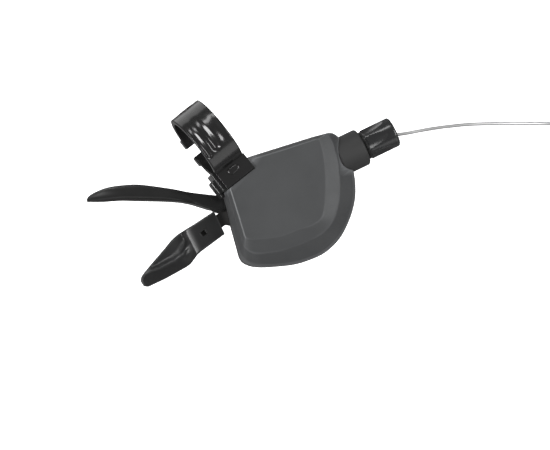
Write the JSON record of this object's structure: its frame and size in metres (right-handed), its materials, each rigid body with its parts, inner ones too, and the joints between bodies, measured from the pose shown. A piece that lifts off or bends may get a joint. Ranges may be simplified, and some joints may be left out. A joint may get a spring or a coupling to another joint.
{
  "type": "bicycle trigger shifter",
  "caption": "Right-hand trigger shifter for a flat handlebar: band clamp, thumb lever, release trigger, ratchet spool, barrel adjuster and free shift wire.",
  "frame": {"origin": "centre of the handlebar bore at the middle of the clamp band's width", "axes": "+X along the handlebar towards its middle, +Y away from the shifter's body, +Z outward normal of the top cover"},
  "size_m": [0.1924, 0.117, 0.089],
  "materials": {
    "cover_paint": "matt dark grey metallic paint",
    "bracket_paint": "satin dark grey",
    "black_plastic": "moulded, matt",
    "lever_plastic": "moulded, satin",
    "knob_plastic": "moulded, satin",
    "clamp_black": "gloss black",
    "plated_steel": "zinc plated",
    "dark_steel": "black zinc",
    "spring_steel": "drawn wire",
    "wire_steel": "stranded steel wire",
    "aluminium_cap": "crimped cap",
    "brass": "turned",
    "white_plastic": "natural acetal"
  },
  "bodies": {
    "housing": {"top_cover": "cover_paint", "base_bracket": "bracket_paint", "bottom_cover": "black_plastic", "cable_port_plug": "black_plastic", "lower_plate": "plated_steel", "clamp_band": "clamp_black", "clamp_bolt": "dark_steel", "clamp_nut": "dark_steel", "clamp_fixing_screw": "dark_steel", "main_axle": "plated_steel", "axle_nut": "plated_steel", "thrust_washer": "dark_steel", "lever_washer": "dark_steel", "release_bush": "brass", "spool_bush": "brass", "spool_spring": "spring_steel", "main_lever_spring": "spring_steel", "release_lever_spring": "spring_steel", "cover_screw_front": "dark_steel", "cover_screw_rear": "dark_steel", "bottom_screw_front": "dark_steel", "bottom_screw_rear": "dark_steel", "holding_pawl_pin": "plated_steel", "adjuster_insert": "brass"},
    "main_lever": {"main_lever_plate": "dark_steel", "main_lever_pad": "lever_plastic", "winding_pawl_pin": "plated_steel"},
    "winding_pawl": {"winding_pawl": "plated_steel"},
    "release_lever": {"release_lever_plate": "dark_steel", "release_lever_blade": "lever_plastic"},
    "holding_pawl": {"holding_pawl": "plated_steel"},
    "spool": {"cable_spool": "white_plastic", "ratchet_plate": "plated_steel", "wire_wrap": "wire_steel", "wire_head": "wire_steel"},
    "shift_wire": {"wire_inside": "wire_steel", "wire_free": "wire_steel", "wire_coil": "wire_steel", "coil_tie": "black_plastic", "wire_end_cap": "aluminium_cap"},
    "adjuster_liner": {"adjuster_liner": "white_plastic"},
    "adjuster": {"adjuster_knob": "knob_plastic", "adjuster_stem": "dark_steel"}
  },
  "joints": [
    {"name": "main_lever_pivot", "type": "hinge", "parent": "housing", "child": "main_lever", "pos_m": [0.0085, -0.0393, 0], "axis": [0, 0, 1], "range_deg": [0, 40], "stiffness_Nm_per_rad": 0.25, "springref_deg": -28.65},
    {"name": "winding_pawl_pivot", "type": "hinge", "parent": "main_lever", "child": "winding_pawl", "pos_m": [-0.00714, -0.03793, 0], "axis": [0, 0, 1], "range_deg": [-10, 0], "stiffness_Nm_per_rad": 0.0004, "springref_deg": 17.19},
    {"name": "release_lever_pivot", "type": "hinge", "parent": "housing", "child": "release_lever", "pos_m": [0.0085, -0.0393, 0], "axis": [0, 0, 1], "range_deg": [-12, 0], "stiffness_Nm_per_rad": 0.15, "springref_deg": 22.92},
    {"name": "holding_pawl_pivot", "type": "hinge", "parent": "housing", "child": "holding_pawl", "pos_m": [0.02514, -0.04164, 0], "axis": [0, 0, 1], "range_deg": [-8.1, 0]},
    {"name": "spool_spin", "type": "hinge", "parent": "housing", "child": "spool", "pos_m": [0.0085, -0.0393, 0], "axis": [0, 0, 1], "range_deg": [0, 40.1]},
    {"name": "wire_travel", "type": "slide", "parent": "housing", "child": "shift_wire", "axis": [-0.976, 0.218, 0], "range_m": [0, 0.0075], "deforming": ["wire_free"]},
    {"name": "adjuster_travel", "type": "slide", "parent": "housing", "child": "adjuster_liner", "axis": [0.976, -0.218, 0], "range_m": [-0.001, 0.003]},
    {"name": "adjuster_turn", "type": "hinge", "parent": "adjuster_liner", "child": "adjuster", "pos_m": [0.05463, -0.03874, -0.005], "axis": [0.976, -0.218, 0], "range_deg": [-361, 1081]}
  ],
  "couplings": [
    {"joint": "spool_spin", "follows": "main_lever_pivot", "ratio": 1},
    {"joint": "wire_travel", "follows": "main_lever_pivot", "m_per_rad": 0.0106},
    {"joint": "holding_pawl_pivot", "follows": "release_lever_pivot", "ratio": 0.6667},
    {"joint": "adjuster_turn", "follows": "adjuster_travel", "rad_per_m": 6283.2}
  ]
}
